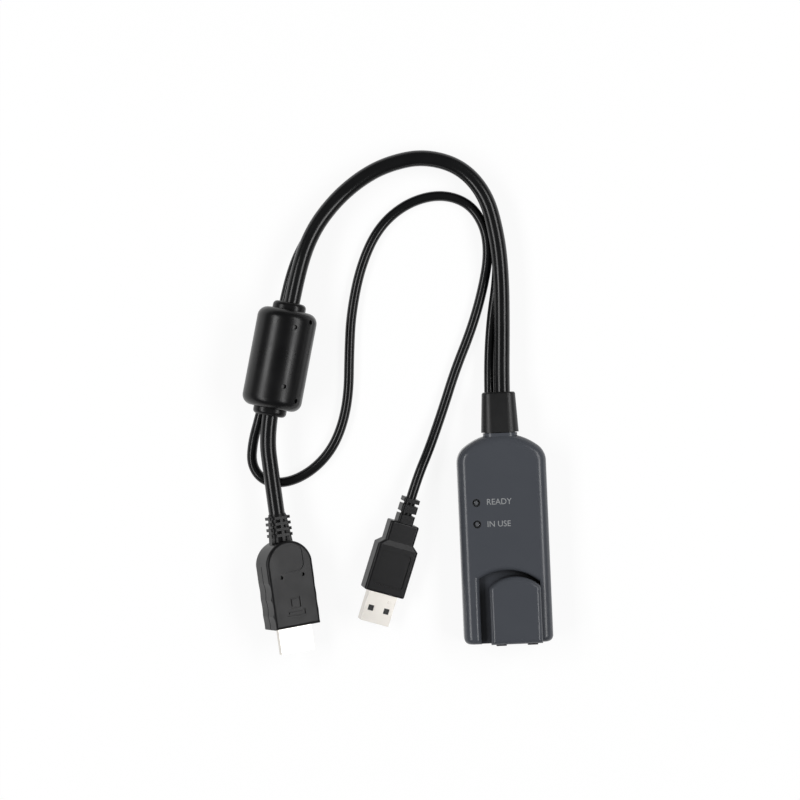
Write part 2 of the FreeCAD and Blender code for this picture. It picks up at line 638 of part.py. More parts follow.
lower = body("lower")
pad(lower, outline(lower, "lower_outline", "0"), "parting_height")
soften(lower, "Fillet", "base_round", lambda b: at_height(b, "0") and not at_place(b, FRONT))
soften(lower, "Fillet", "front_round", front_chain)
soften(lower, "Chamfer", "seam_chamfer", lambda b: at_height(b, "parting_height"))
pocket(lower, outline(lower, "lower_cavity", "parting_height", "wall"), "parting_height - base_wall")
spout(lower, "parting_height - spout_depth / 2", "parting_height + spout_corner", True)
for x, y in SCREWS:
    pad(lower, circle(sketch(lower, "lower_boss", "base_wall / 2"), x, y, "boss_lower"),
        "board_height - base_wall / 2")
    pocket(lower, circle(sketch(lower, "screw_way", "0"), x, y, "screw_hole"), "board_height + 1", True)
    pocket(lower, circle(sketch(lower, "head_way", "0"), x, y, "counterbore"), "counterbore_depth", True)
keep("lower_housing", cut("lower_shell", lower, [jack_opening, neck_tool]))

for index, (x, y) in enumerate(SCREWS, start=1):
    seat = "counterbore_depth - screw_head_depth"
    shape = fused("screw", [cylinder("screw_head", x, y, seat, "screw_head", "screw_head_depth"),
                             cylinder("screw_shank", x, y, seat, "screw_width",
                                      "screw_head_depth + screw_length")])
    slots = [box("slot", f"{x} - {wide} / 2", f"{x} + {wide} / 2", f"{y} - {deep} / 2", f"{y} + {deep} / 2",
                 "-1", f"{seat} + screw_head_depth * 0.6")
             for wide, deep in (("cross_width", "cross_length"), ("cross_length", "cross_width"))]
    keep(f"housing_screw_{index}", cut("screw_cross", shape, slots))

# ---- boot: the tapered part behind the housing, its neck, and the flange that holds it in ------

boot = body("boot")


def boot_outline(name, along, wide, tall, corner):
    return rounded(across(boot, name, along), f"-{wide} / 2", f"{wide} / 2", f"parting_height - {tall} / 2",
                   f"parting_height + {tall} / 2", corner)


pad(boot, boot_outline("boot_base", BOOT_FRONT, "boot_width", "boot_depth", "boot_corner"),
    "boot_length", True)
bind(boot.Tip, TaperAngle="-boot_taper")
doc.recompute()
soften(boot, "Fillet", "boot_tip_round", lambda b: at_place(b, f"{BOOT_FRONT} + boot_length"))
pad(boot, boot_outline("neck", f"{BOOT_FRONT} + 1", "neck_width", "neck_depth", "neck_corner"),
    "neck_reach + 1")
pad(boot, boot_outline("flange", f"{BOOT_FRONT} - neck_reach", "flange_width", "flange_depth", "neck_corner"),
    "flange_thick")
keep("cable_boot", cut("boot_bored", boot, bores()))

# ---- light pipes and lamps -------------------------------------------------------------------

for name, along in LAMPS:
    pipe = body(f"{name}_pipe")
    lamp_top = f"({BOARD_TOP} + 0.6)"
    pad(pipe, circle(sketch(pipe, f"{name}_rod", f"{lamp_top} + 0.1"), LAMP_ACROSS, along, "pipe_width"),
        f"body_height - pipe_sink - {lamp_top} - 0.1")
    soften(pipe, "Fillet", "pipe_width / 3", lambda b: at_height(b, "body_height - pipe_sink"))
    pad(pipe, circle(sketch(pipe, f"{name}_collar", f"{CEILING} - collar_depth"), LAMP_ACROSS, along,
                     "collar_width"), "collar_depth")
    keep(f"{name}_light_pipe", pipe)
    keep(f"{name}_lamp", box(f"{name}_chip", f"{LAMP_ACROSS} - 0.8", f"{LAMP_ACROSS} + 0.8", f"{along} - 0.4",
                             f"{along} + 0.4", BOARD_TOP, lamp_top))

# ---- socket ----------------------------------------------------------------------------------

PORT_LOW = f"({BOARD_TOP} + port_sill)"
PORT_HIGH = f"({PORT_LOW} + port_height)"
jack = body("jack")
pad(jack, rectangle(sketch(jack, "jack_block", BOARD_TOP), JACK_LEFT, JACK_RIGHT, JACK_FRONT,
                    f"{JACK_FRONT} + jack_length"), "jack_height")
for name, wide, low, high, deep in (
        ("notch", "notch_width", PORT_HIGH, f"{BOARD_TOP} + jack_height + 1", "notch_depth"),
        ("port", "port_width", PORT_LOW, PORT_HIGH, "port_depth"),
        ("latch", "latch_width", f"{PORT_HIGH} - 1", f"{PORT_HIGH} + latch_height", "port_depth")):
    pocket(jack, rectangle(across(jack, f"jack_{name}", JACK_FRONT), f"{HOOD_MIDDLE} - {wide} / 2",
                           f"{HOOD_MIDDLE} + {wide} / 2", low, high), deep)
keep("network_jack", jack)

contacts = body("contacts")
contacts.AllowCompound = True
root = f"({JACK_FRONT} + port_depth)"
spring = polygon(
    sketch(contacts, "contact_spring",
           f"{HOOD_MIDDLE} - 3.5 * contact_pitch - contact_width / 2", "YZ_Plane"),
    [(root, f"{PORT_LOW} + 4.0"), (root, f"{PORT_LOW} + 4.0 + contact_thick"),
     (f"{root} - 2.0", f"{PORT_LOW} + 4.0 + contact_thick"),
     (f"{root} - 10.0", f"{PORT_LOW} + 0.7 + contact_thick"),
     (f"{root} - 10.0", f"{PORT_LOW} + 0.7"), (f"{root} - 2.0", f"{PORT_LOW} + 4.0")])
pad(contacts, spring, "contact_width")
row_of_eight = contacts.newObject("PartDesign::LinearPattern", "contact_row")
row_of_eight.Originals = [doc.contact_spring_pad]
row_of_eight.Direction = (spring, ["N_Axis"])
row_of_eight.Occurrences = 8
bind(row_of_eight, Length="7 * contact_pitch")
contacts.Tip = row_of_eight
keep("jack_contacts", contacts)

# ---- circuit board and what is soldered on it --------------------------------------------------

board = body("board")
pad(board, rectangle(sketch(board, "board_outline", "board_height"), f"-{BOARD_HALF}", BOARD_HALF,
                     f"{FRONT} + wall + board_front", f"{SPRING} - board_rear"), "board_depth")
for x, y in SCREWS:
    pocket(board, circle(sketch(board, "board_way", "board_height"), x, y, "board_hole"),
           "board_depth + 1", True)
keep("circuit_board", board)

HEADER_BACK = f"({SPRING} - 6.65)"
DATA_HEADER = f"(boss_upper / 2 + 2.4 - {BOSS})"
VIDEO_HEADER = f"({DATA_HEADER} + 7.0)"

# Node, middle across and along, width, length, height.
SOLDERED = [
    ("network_transformer", f"({BOSS} - boss_lower / 2 - 6.7)", f"({FRONT} + 37.55)", 12.7, 9.5, 5.8),
    ("video_processor", f"({BOARD_HALF} - 12.3)", f"({FRONT} + 48.05)", 10.0, 10.0, 1.4),
    ("memory_chip", f"({BOARD_HALF} - 3.8)", f"({FRONT} + 49.95)", 6.0, 4.6, 1.0),
    ("data_controller", f"(6.0 - {BOARD_HALF})", f"({FRONT} + 25.95)", 6.0, 6.0, 1.0),
    ("crystal_can", f"({BOARD_HALF} - 21.8)", f"({FRONT} + 43.55)", 4.0, 2.6, 1.2),
    ("power_inductor", f"({BOARD_HALF} - 3.3)", f"({FRONT} + 44.05)", 6.0, 6.0, 3.0),
    ("video_header", VIDEO_HEADER, f"({HEADER_BACK} - 1.5)", 9.0, 3.0, 3.4),
    ("data_header", DATA_HEADER, f"({HEADER_BACK} - 1.5)", 4.0, 3.0, 3.0),
]
for node, x, y, wide, deep, tall in SOLDERED:
    keep(node, box(f"{node}_block", f"{x} - {wide / 2}", f"{x} + {wide / 2}", f"{y} - {deep / 2}",
                   f"{y} + {deep / 2}", BOARD_TOP, f"{BOARD_TOP} + {tall}"))
for node, x, y in (("capacitor_front", f"({BOARD_HALF} - 2.7)", f"({FRONT} + 38.7)"),
                   ("capacitor_rear", f"(2.3 - {BOARD_HALF})", f"({LAMP_FIRST} - lamp_pitch / 2)")):
    keep(node, cylinder(f"{node}_can", x, y, BOARD_TOP, 4.0, f"{CEILING} - capacitor_gap - {BOARD_TOP}"))


def cores(node, start, header, steps, spread, diameter, level):
    """The wires from a cable's end to its header, one to each step across it, in one or two layers."""
    back, height = number(HEADER_BACK), number(BOARD_TOP) + level
    wires = []
    for index, step in enumerate(steps):
        side = -1 if step < 0 else 1
        layer = (1 if abs(step) < 2 else -1) if len(steps) == 4 else 0
        x, z, end = start[0] + side * spread, start[2] + layer * spread, number(header) + step
        points = [(x, start[1], z), (x + side * 0.2, start[1] - 3, z - 0.1),
                  (end - side * 0.3, back + 3, height + 0.1), (end, back, height)]
        wires.append(shaped(f"{node}_wire", tube(points, diameter)[0]))
    keep(node, grouped(f"{node}_wires", wires))


cores("video_cores", VIDEO_ROUTE[0], VIDEO_HEADER, (-3.3, -1.1, 1.1, 3.3), 0.9, 1.1, 1.8)
cores("data_cores", DATA_ROUTE[0], DATA_HEADER, (-1.3, 1.3), 0.7, 0.9, 1.4)

# ---- cables and the ferrite --------------------------------------------------------------------

cable("video_cable", VIDEO_ROUTE, "video_cord")
cable("data_cable", DATA_ROUTE, "data_cord")

sleeve_place = FreeCAD.Placement(V(number("sleeve_across"), number("sleeve_along"), number("sleeve_up")),
                                 FreeCAD.Rotation(V(0, 0, 1), number("sleeve_turn")))
sleeve = body("sleeve")
pad(sleeve, circle(across(sleeve, "sleeve_round_bar", "sleeve_length / 2"), "0", "0", "sleeve_width"),
    "sleeve_length")
soften(sleeve, "Fillet", "sleeve_round", lambda b: near(b.YMin, b.YMax))
pad(sleeve, rounded(across(sleeve, "sleeve_collars", "sleeve_length / 2 + collar_reach"), "-collar_span / 2",
                    "collar_span / 2", "-collar_span / 2", "collar_span / 2", "collar_corner"),
    "sleeve_length + 2 * collar_reach")
soften(sleeve, "Fillet", "collar_round", lambda b: near(b.YMin, b.YMax)
       and abs(b.YMin) > number("sleeve_length / 2 + collar_reach") - 0.1)
marks = []
for turn, along in ((21, 13.3), (21, -10.4), (55.5, 16.4), (55.5, -15.2)):
    pin = doc.addObject("Part::Cylinder", "sleeve_mark")
    bind(pin, Radius="pin_width / 2", Height="5")
    tilt = FreeCAD.Rotation(V(0, 1, 0), turn)
    foot = tilt.multVec(V(0, 0, number("sleeve_width / 2 - pin_depth"))) + V(0, along, 0)
    pin.Placement = FreeCAD.Placement(foot, tilt)
    marks.append(pin)
hollow = lying("sleeve_hollow", "0", "0", "-core_length / 2", "core_outer", "core_length")
keep("ferrite_sleeve", cut("sleeve_bored", sleeve, [hollow] + marks + bores(sleeve_place.inverse())),
     sleeve_place)
core = lying("core_bar", "0", "0", "-core_length / 2", "core_outer", "core_length")
core_bore = lying("core_bore", "0", "0", "-core_length / 2 - 1", "core_inner", "core_length + 2")
keep("ferrite_core", cut("core_ring", core, [core_bore]), sleeve_place)

# ---- plug pieces that both plugs have ----------------------------------------------------------


def sheet_box(name, front, length, wide, tall, thick):
    """An open sheet-metal box along Y: its outside, less its inside."""
    outside = box(f"{name}_outside", f"-({wide}) / 2", f"({wide}) / 2", front, f"{front} + {length}",
                  f"-({tall}) / 2", f"({tall}) / 2")
    inside = box(f"{name}_inside", f"-({wide}) / 2 + {thick}", f"({wide}) / 2 - {thick}", f"{front} - 1",
                 f"{front} + {length} + 1", f"-({tall}) / 2 + {thick}", f"({tall}) / 2 - {thick}")
    return cut(name, outside, [inside])


# ---- video plug --------------------------------------------------------------------------------

video_place = plug_placement(VIDEO_ROUTE, "video_seat", "video_roll")
VIDEO_FRONT = "(-video_relief - video_grip)"
grip = body("video_grip_body")
pad(grip, arched(sketch(grip, "video_tombstone", "-video_depth / 2"), "video_width / 2", VIDEO_FRONT,
                 "-video_relief - video_rise", "video_corner", "video_rise"), "video_depth")
soften(grip, "Fillet", "video_round", lambda b: near(b.ZMin, b.ZMax))
SCALLOP = "(scallop_pitch^2 / (8 * scallop_depth) + scallop_depth / 2)"
for step in range(3):
    for side in ("-", ""):
        pocket(grip, circle(sketch(grip, "scallop", "video_depth / 2 + 1"),
                            f"{side}(video_width / 2 + {SCALLOP} - scallop_depth)",
                             f"{VIDEO_FRONT} + ({step} + 0.3) * scallop_pitch", f"2 * {SCALLOP}"),
               "video_depth + 2")
for low, high in (("-video_width / 2 - 1", "scallop_depth + grip_seam / 2 - video_width / 2"),
                  ("video_width / 2 - scallop_depth - grip_seam / 2", "video_width / 2 + 1")):
    pocket(grip, rectangle(across(grip, "side_seam", VIDEO_FRONT), low, high,
                           "-grip_seam / 2", "grip_seam / 2"),
           "video_grip - video_rise")
pocket(grip, rounded(sketch(grip, "grip_panel", "video_depth / 2"), "-6.2", "5.8", "-video_relief - 12.4",
                     "-video_relief - 1.9", "3.0"), "panel_depth")
for x in ("-4.4", "4.8"):
    pocket(grip, circle(sketch(grip, "grip_mark", "video_depth / 2"), x, "-video_relief - 14.1", "1.5"),
           "pin_depth")
for half, low, high in ((2.2, 7.6, 12.0), (3.8, 4.6, 6.8)):
    frame = rectangle(sketch(grip, "screen_sign", "video_depth / 2"), f"{-half}", f"{half}",
                      f"{VIDEO_FRONT} + {low}", f"{VIDEO_FRONT} + {high}")
    rectangle(frame, f"sign_line - {half}", f"{half} - sign_line", f"{VIDEO_FRONT} + {low} + sign_line",
              f"{VIDEO_FRONT} + {high} - sign_line")
    pocket(grip, frame, "sign_depth")
pad(grip, circle(across(grip, "relief_core", "0"), "0", "0", "video_core_width"), "video_relief + 3")
for index in range(4):
    wide = f"(video_rib_width + {index} * video_rib_growth)"
    pad(grip, rounded(across(grip, "relief_rib", f"-1.0 - {index} * video_rib_pitch"),
                      f"-{wide} / 2", f"{wide} / 2",
                      "-video_rib_depth / 2", "video_rib_depth / 2", "1.8"), "video_rib")
pad(grip, rectangle(across(grip, "relief_spine", "-1.0"), "-0.6", "0.6", "-video_rib_depth / 2",
                    "video_rib_depth / 2"), "video_relief + 1")
WEB_END = "(video_web_width + video_web_growth)"
pad(grip, polygon(sketch(grip, "relief_webs", "-video_web_depth / 2"), [
    ("-video_web_width / 2", "-0.6"), (f"-{WEB_END} / 2", "-video_relief - 2"),
    (f"{WEB_END} / 2", "-video_relief - 2"),
    ("video_web_width / 2", "-0.6")]), "video_web_depth")
pocket(grip, circle(across(grip, "video_entry", "-video_seat"), "0", "0", "video_cord + 2 * cord_clearance"),
       "video_seat + 1")
VIDEO_CAN_WIDTH = "video_shell_width + 4 * metal"
VIDEO_CAN_DEPTH = "video_shell_depth + 4 * metal"
pocket(grip, rectangle(across(grip, "video_can_seat", VIDEO_FRONT), f"-({VIDEO_CAN_WIDTH}) / 2",
                       f"({VIDEO_CAN_WIDTH}) / 2", f"-({VIDEO_CAN_DEPTH}) / 2", f"({VIDEO_CAN_DEPTH}) / 2"),
       "video_can_length")
keep("video_plug_grip", grip, video_place)
keep("video_plug_can", sheet_box("video_can", VIDEO_FRONT, "video_can_length", VIDEO_CAN_WIDTH,
                                 VIDEO_CAN_DEPTH, "2 * metal"), video_place)


def shell_outline(drawing, inset):
    """The video shell's section: a flat top and a narrower floor, with sloped lower corners."""
    half, high = f"(video_shell_width / 2 - {inset})", f"(video_shell_depth / 2 - {inset})"
    slope = f"(video_shell_width / 2 - 1.9 - {inset} * 0.5)"
    return polygon(drawing, [(f"-{slope}", f"-{high}"), (slope, f"-{high}"), (half, "-0.6"), (half, high),
                             (f"-{half}", high), (f"-{half}", "-0.6")])


shell = body("video_shell_body")
tip = f"({VIDEO_FRONT} - video_shell_reach)"
back = f"({VIDEO_FRONT} + video_shell_inside)"
pad(shell, shell_outline(across(shell, "video_shell_outside", back), "0"),
    "video_shell_reach + video_shell_inside")
pocket(shell, shell_outline(across(shell, "video_shell_inside_hole", tip), "metal"),
       "video_shell_reach + video_shell_inside")
keep("video_plug_shell", shell, video_place)

insulator = body("video_insulator_body")
pad(insulator, shell_outline(across(insulator, "video_block", back), "metal"), "video_shell_inside - 1")
for low, high in (("video_shell_depth / 2 - metal - 0.9", "video_shell_depth / 2 - metal"),
                  ("metal - video_shell_depth / 2", "metal + 0.8 - video_shell_depth / 2")):
    pad(insulator, rectangle(across(insulator, "video_tongue", f"{VIDEO_FRONT} + 1.5"),
                             "-4.9", "4.9", low, high),
        "10.5")
keep("video_plug_insulator", insulator, video_place)
strips = [box("video_strip", f"{x} - 0.2", f"{x} + 0.2", f"{tip} + 1.6", f"{VIDEO_FRONT} + 1.0", low, high)
          for count, first, low, high in (
              (10, -4.5, "video_shell_depth / 2 - metal - 1.1", "video_shell_depth / 2 - metal - 0.9"),
              (9, -4.0, "metal + 0.8 - video_shell_depth / 2", "metal + 1.0 - video_shell_depth / 2"))
          for x in (first + index for index in range(count))]
keep("video_plug_contacts", grouped("video_strips", strips), video_place)

# ---- data plug ---------------------------------------------------------------------------------

data_place = plug_placement(DATA_ROUTE, "data_seat", "data_roll")
DATA_BLOCK = "(-data_relief)"
DATA_SHOULDER = f"({DATA_BLOCK} - data_block)"
DATA_WIDE = f"({DATA_SHOULDER} - data_shoulder)"
DATA_FRONT = f"({DATA_WIDE} - data_grip)"
grip = body("data_grip_body")


def data_outline(name, along, wide, tall, corner="data_corner"):
    return rounded(across(grip, name, along), f"-({wide}) / 2", f"({wide}) / 2", f"-({tall}) / 2",
                   f"({tall}) / 2", corner)


wide_end = data_outline("shoulder_wide", DATA_WIDE, "data_width", "data_depth")
pad(grip, data_outline("wide_block", DATA_WIDE, "data_width", "data_depth"), "data_grip")
soften(grip, "Fillet", "0.7", lambda b: at_place(b, DATA_FRONT))
pocket(grip, rounded(sketch(grip, "data_panel", "data_depth / 2"),
                     "-data_width / 2 + 2.2", "data_width / 2 - 2.2",
                     f"{DATA_FRONT} + 3.4", f"{DATA_WIDE} - 2.0", "1.2"), "panel_depth")
shoulder = grip.newObject("PartDesign::AdditiveLoft", "data_shoulder_loft")
shoulder.Profile = wide_end
shoulder.Sections = [data_outline("shoulder_narrow", DATA_SHOULDER, "data_block_width", "data_block_depth")]
shoulder.Ruled = True
doc.recompute()
pad(grip, data_outline("narrow_block", DATA_BLOCK, "data_block_width", "data_block_depth"), "data_block")
soften(grip, "Fillet", "0.6", lambda b: at_place(b, DATA_BLOCK))
pad(grip, circle(across(grip, "data_relief_core", "0"), "0", "0", "data_core_width"), "data_relief + 1")
for start, end in (("0", "-data_notch_first"),
                   ("-data_notch_first - data_notch", "-data_notch_first - data_notch_pitch"),
                   ("-data_notch_first - data_notch_pitch - data_notch", "-data_relief - 0.5")):
    pad(grip, data_outline("data_ring", start, "data_relief_width", "data_relief_width", "1.0"),
        f"{start} - ({end})")
pocket(grip, circle(across(grip, "data_entry", "-data_seat"), "0", "0", "data_cord + 2 * cord_clearance"),
       "data_seat + 1")
DATA_CAN_WIDTH = "data_shell_width + 4 * metal"
DATA_CAN_DEPTH = "data_shell_depth + 4 * metal"
pocket(grip, rectangle(across(grip, "data_can_seat", DATA_FRONT), f"-({DATA_CAN_WIDTH}) / 2",
                       f"({DATA_CAN_WIDTH}) / 2", f"-({DATA_CAN_DEPTH}) / 2", f"({DATA_CAN_DEPTH}) / 2"),
       "data_can_length")
keep("data_plug_grip", grip, data_place)
keep("data_plug_can", sheet_box("data_can", DATA_FRONT, "data_can_length", DATA_CAN_WIDTH, DATA_CAN_DEPTH,
                                "2 * metal"), data_place)

DATA_TIP = f"({DATA_FRONT} - data_shell_reach)"
WINDOW_ALONG = f"({DATA_FRONT} - data_window_back)"
windows = [box("data_window", f"{side}data_window_across - data_window / 2",
               f"{side}data_window_across + data_window / 2", f"{WINDOW_ALONG} - data_window / 2",
                f"{WINDOW_ALONG} + data_window / 2", "-data_shell_depth", "data_shell_depth")
           for side in ("-", "")]
keep("data_plug_shell", cut("data_shell_windowed", sheet_box(
    "data_shell", DATA_TIP, "data_shell_reach + data_shell_inside", "data_shell_width", "data_shell_depth",
    "metal"), windows), data_place)
INNER = "data_shell_width / 2 - metal"
LEVEL = "data_shell_depth / 2 - metal"
keep("data_plug_insulator", fused("data_insulator", [
    box("data_plate", f"-({INNER})", INNER, f"{DATA_TIP} + 0.6", f"{DATA_FRONT} + 2",
        f"{LEVEL} - 1.9", LEVEL),
    box("data_block_inside", f"-({INNER})", INNER, f"{DATA_FRONT} + 1", f"{DATA_FRONT} + data_shell_inside",
        f"-({LEVEL})", LEVEL)]), data_place)
strips = [box("data_strip", f"{x} - {wide / 2}", f"{x} + {wide / 2}", f"{DATA_TIP} + 1.4",
              f"{DATA_FRONT} + 1", f"{LEVEL} - 2.1", f"{LEVEL} - 1.9")
          for x, wide in ((-3.5, 1.2), (-1.0, 1.0), (1.0, 1.0), (3.5, 1.2))]
keep("data_plug_contacts", grouped("data_strips", strips), data_place)

# ---- check and write ---------------------------------------------------------------------------

doc.recompute()
for thing in doc.Objects:
    if {"Invalid", "Error"} & set(thing.State):
        raise RuntimeError(f"{thing.Name} failed: {thing.State}")
for node, thing in NODES:
    if thing.Shape.isNull() or not thing.Shape.isValid():
        raise RuntimeError(f"{node} has no valid shape")
os.makedirs("parts", exist_ok=True)
for node, thing in NODES:
    thing.Shape.exportStep(f"parts/{node}.step")
print(len(NODES), "sub-parts written")
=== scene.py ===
import logging
import math
from dataclasses import dataclass
from enum import Enum

import bpy
import numpy as np
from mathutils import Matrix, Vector


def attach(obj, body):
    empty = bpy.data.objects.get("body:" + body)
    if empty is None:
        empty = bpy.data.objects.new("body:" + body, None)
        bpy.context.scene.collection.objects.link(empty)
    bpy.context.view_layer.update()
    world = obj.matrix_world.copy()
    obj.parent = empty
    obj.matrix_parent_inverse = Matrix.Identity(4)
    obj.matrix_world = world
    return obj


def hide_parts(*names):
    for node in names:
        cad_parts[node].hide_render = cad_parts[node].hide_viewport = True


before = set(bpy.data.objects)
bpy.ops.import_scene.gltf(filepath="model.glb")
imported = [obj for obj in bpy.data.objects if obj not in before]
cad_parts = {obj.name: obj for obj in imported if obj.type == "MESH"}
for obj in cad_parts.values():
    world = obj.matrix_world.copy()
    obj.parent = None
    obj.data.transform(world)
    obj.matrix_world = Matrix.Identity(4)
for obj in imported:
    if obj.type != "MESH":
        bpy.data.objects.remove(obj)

logging.basicConfig(level=logging.INFO, format="%(message)s")
log = logging.getLogger("dongle")

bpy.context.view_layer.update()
MM = 0.001

# A colour Mix node's sockets, which share their names with its other data types.
MIX_FIRST, MIX_SECOND, MIX_RESULT = 6, 7, 2

# The part of 0 to 1 that a noise texture mostly covers.
NOISE_LOW, NOISE_HIGH = 0.3, 0.7

# Height above the housing's underside of its flat top, where the labels are printed.
FLAT_TOP_MM = 15.0


# ---- shared helpers --------------------------------------------------------------------------


def linear(hex_colour: str) -> tuple[float, float, float, float]:
    """Turns an sRGB hex colour into linear values.

    Args:
        hex_colour: Six hex digits, with or without a leading #.

    Returns:
        Red, green and blue, linear, and an alpha of 1.
    """
    digits = hex_colour.lstrip("#")
    channels = [int(digits[i:i + 2], 16) / 255 for i in (0, 2, 4)]
    return (*[c / 12.92 if c <= 0.04045 else ((c + 0.055) / 1.055) ** 2.4 for c in channels], 1.0)


def add(tree: bpy.types.NodeTree, kind: str, links: dict | None = None, values: dict | None = None,
        **settings: object) -> bpy.types.Node:
    """Adds one node with its settings and links.

    Args:
        tree: Where the node goes.
        kind: The node's Blender type name.
        links: Input's name or number to the output socket that feeds it.
        values: Input's name or number to its value.
        settings: The node's own properties.

    Returns:
        The new node.
    """
    made = tree.nodes.new(kind)
    for key, value in settings.items():
        setattr(made, key, value)
    for key, value in (values or {}).items():
        made.inputs[key].default_value = value
    for key, socket in (links or {}).items():
        tree.links.new(socket, made.inputs[key])
    return made


def per_metre(size_mm: float) -> float:
    """Gives a noise texture's scale for features of a real size in millimetres."""
    return 1.0 / (size_mm * MM)


# ---- finishes --------------------------------------------------------------------------------


@dataclass(frozen=True)
class Finish:
    """A moulded, plated or extruded surface.

    A fine grain lifts the surface, and a slow mottle, the size of a handling mark, moves its
    roughness and its colour a little, as flow and wear do on the real material. Grooves and
    corners narrower than the painted shade's reach get painted shade: their colour is darkened,
    since little light gets out of them.
    """

    name: str
    colour: str
    shade: str
    roughness: float
    grain_mm: float
    grain_depth_mm: float
    mottle_mm: float = 14.0
    mottle: float = 0.05
    metallic: float = 0.0
    ior: float = 1.5
    # Painted shade in narrow grooves and corners: how far it looks, the openness below which it starts, and
    # the dark colour it paints.
    painted_shade_mm: float = 0.0
    painted_shade_open: float = 0.6
    painted_shade_colour: str = "#040405"
    stretch: tuple[float, float, float] = (1.0, 1.0, 1.0)

    def material(self) -> bpy.types.Material:
        """Builds the material.

        Returns:
            A material whose shader's output goes to the surface.
        """
        made = bpy.data.materials.new(self.name)
        made.use_nodes = True
        tree = made.node_tree
        tree.nodes.clear()
        place = add(tree, "ShaderNodeTexCoord").outputs["Object"]
        shader = add(tree, "ShaderNodeBsdfPrincipled", values={"Metallic": self.metallic})
        if not self.metallic:
            shader.inputs["IOR"].default_value = self.ior
        self.dress(tree, place, shader)
        add(tree, "ShaderNodeOutputMaterial", {"Surface": shader.outputs["BSDF"]})
        return made

    def dress(self, tree: bpy.types.NodeTree, place: bpy.types.NodeSocket, shader: bpy.types.Node) -> None:
        """Feeds the shader's colour, roughness and normal.

        Args:
            tree: The material's node tree.
            place: Object coordinates, in metres.
            shader: The Principled shader to feed.
        """
        mottle = add(tree, "ShaderNodeTexNoise", {"Vector": place},
                     {"Scale": per_metre(self.mottle_mm), "Detail": 3.0, "Roughness": 0.6})
        colour = add(tree, "ShaderNodeMix", {"Factor": mottle.outputs["Fac"]},
                     {MIX_FIRST: linear(self.colour), MIX_SECOND: linear(self.shade)}, data_type="RGBA")
        # Painted shade: the colour is darkened towards a near-black where ambient occlusion finds the surface
        # closed in.
        if self.painted_shade_mm:
            sky = add(tree, "ShaderNodeAmbientOcclusion", values={"Distance": self.painted_shade_mm * MM}, samples=8)
            light = add(tree, "ShaderNodeMapRange", {"Value": sky.outputs["AO"]}, {
                "From Min": self.painted_shade_open / 2, "From Max": self.painted_shade_open})
            colour = add(tree, "ShaderNodeMix", {
                "Factor": light.outputs["Result"], MIX_SECOND: colour.outputs[MIX_RESULT]},
                {MIX_FIRST: linear(self.painted_shade_colour)}, data_type="RGBA")
        tree.links.new(colour.outputs[MIX_RESULT], shader.inputs["Base Color"])
        rough = add(tree, "ShaderNodeMapRange", {"Value": mottle.outputs["Fac"]}, {
            "From Min": NOISE_LOW, "From Max": NOISE_HIGH, "To Min": self.roughness - self.mottle,
            "To Max": self.roughness + self.mottle})
        tree.links.new(rough.outputs["Result"], shader.inputs["Roughness"])
        stretched = add(tree, "ShaderNodeMapping", {"Vector": place}, {"Scale": self.stretch})
        grain = add(tree, "ShaderNodeTexNoise", {"Vector": stretched.outputs["Vector"]},
                    {"Scale": per_metre(self.grain_mm), "Detail": 2.0})
        bump = add(tree, "ShaderNodeBump", {"Height": grain.outputs["Fac"]},
                   {"Strength": 1.0, "Distance": self.grain_depth_mm * MM})
        tree.links.new(bump.outputs["Normal"], shader.inputs["Normal"])


@dataclass(frozen=True)
class ClearLens(Finish):
    """Moulded polycarbonate light pipe: glossy, and part of the light goes through it."""

    transmission: float = 0.6

    def dress(self, tree: bpy.types.NodeTree, place: bpy.types.NodeSocket, shader: bpy.types.Node) -> None:
        """Feeds the shader, and lets part of the light through.

        Args:
            tree: The material's node tree.
            place: Object coordinates, in metres.
            shader: The Principled shader to feed.
        """
        super().dress(tree, place, shader)
        shader.inputs["Transmission Weight"].default_value = self.transmission


@dataclass(frozen=True)
class SolderMask(Finish):
    """Green solder mask over a glass-epoxy board: the copper tracks under it look lighter."""

    track_mm: float = 1.2
    track_edge: float = 0.03
    track_end: float = 0.08
    track_colour: str = "#2f7a45"

    def dress(self, tree: bpy.types.NodeTree, place: bpy.types.NodeSocket, shader: bpy.types.Node) -> None:
        """Adds lighter tracks to the mask's colour: the borders of irregular cells.

        Args:
            tree: The material's node tree.
            place: Object coordinates, in metres.
            shader: The Principled shader to feed.
        """
        super().dress(tree, place, shader)
        cells = add(tree, "ShaderNodeTexVoronoi", {"Vector": place}, {"Scale": per_metre(self.track_mm)},
                    feature="DISTANCE_TO_EDGE")
        track = add(tree, "ShaderNodeMapRange", {"Value": cells.outputs["Distance"]},
                    {"From Min": self.track_edge, "From Max": self.track_end, "To Min": 1.0, "To Max": 0.0})
        mask = shader.inputs["Base Color"].links[0].from_socket
        colour = add(tree, "ShaderNodeMix", {"Factor": track.outputs["Result"], MIX_FIRST: mask},
                     {MIX_SECOND: linear(self.track_colour)}, data_type="RGBA")
        tree.links.new(colour.outputs[MIX_RESULT], shader.inputs["Base Color"])


